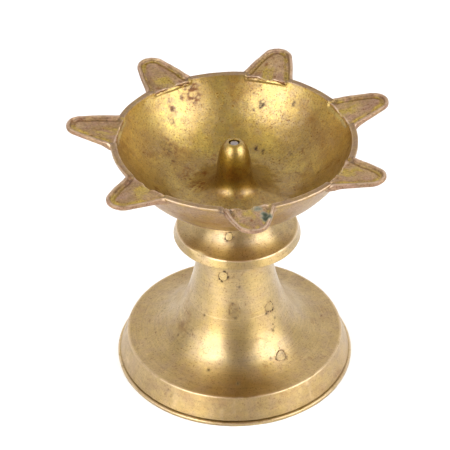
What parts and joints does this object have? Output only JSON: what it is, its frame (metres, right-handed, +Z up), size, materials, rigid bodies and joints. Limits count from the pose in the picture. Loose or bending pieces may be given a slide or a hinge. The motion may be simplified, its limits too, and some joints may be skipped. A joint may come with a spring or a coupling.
{
  "type": "oil lamp",
  "caption": "Shallow brass oil bowl with tongue-shaped wick spouts round its rim and a central boss, screwed down to a trumpet-shaped pedestal with a flared collar and a thin foot lip.",
  "frame": {"origin": "on the lamp's axis, at the middle of the flat underside of the bottom plate", "axes": "+Z up along the lamp's axis; +X to the right and +Y away as the lamp is seen from its front"},
  "size_m": [0.1431, 0.1409, 0.1225],
  "materials": {
    "turned_brass": "satin, lathe-turned, lightly worn",
    "bowl_brass": "satin, oil-stained and speckled",
    "spout_brass": "dull brown patina, hand-filed",
    "plug_brass": "satin",
    "stud_steel": "dull grey"
  },
  "bodies": {
    "pedestal": {"pedestal": "turned_brass", "bottom_plate": "turned_brass", "collar": "turned_brass", "core_plug_1": "plug_brass", "core_plug_2": "plug_brass", "core_plug_3": "plug_brass", "core_plug_4": "plug_brass", "core_plug_5": "plug_brass"},
    "stud": {"threaded_stud": "stud_steel"},
    "bowl": {"bowl": "bowl_brass", "wick_spout_1": "spout_brass", "wick_spout_2": "spout_brass", "wick_spout_3": "spout_brass", "wick_spout_4": "spout_brass", "wick_spout_5": "spout_brass", "wick_spout_6": "spout_brass", "wick_spout_7": "spout_brass"}
  },
  "joints": [
    {"name": "bowl_rise", "type": "slide", "parent": "pedestal", "child": "stud", "axis": [0, 0, 1], "range_m": [0, 0.0097]},
    {"name": "bowl_unscrew", "type": "hinge", "parent": "stud", "child": "bowl", "pos_m": [0, 0, 0.12], "axis": [0, 0, 1], "range_deg": [0, 2790]}
  ],
  "couplings": [
    {"joint": "bowl_rise", "follows": "bowl_unscrew", "m_per_rad": 0.00019894}
  ]
}
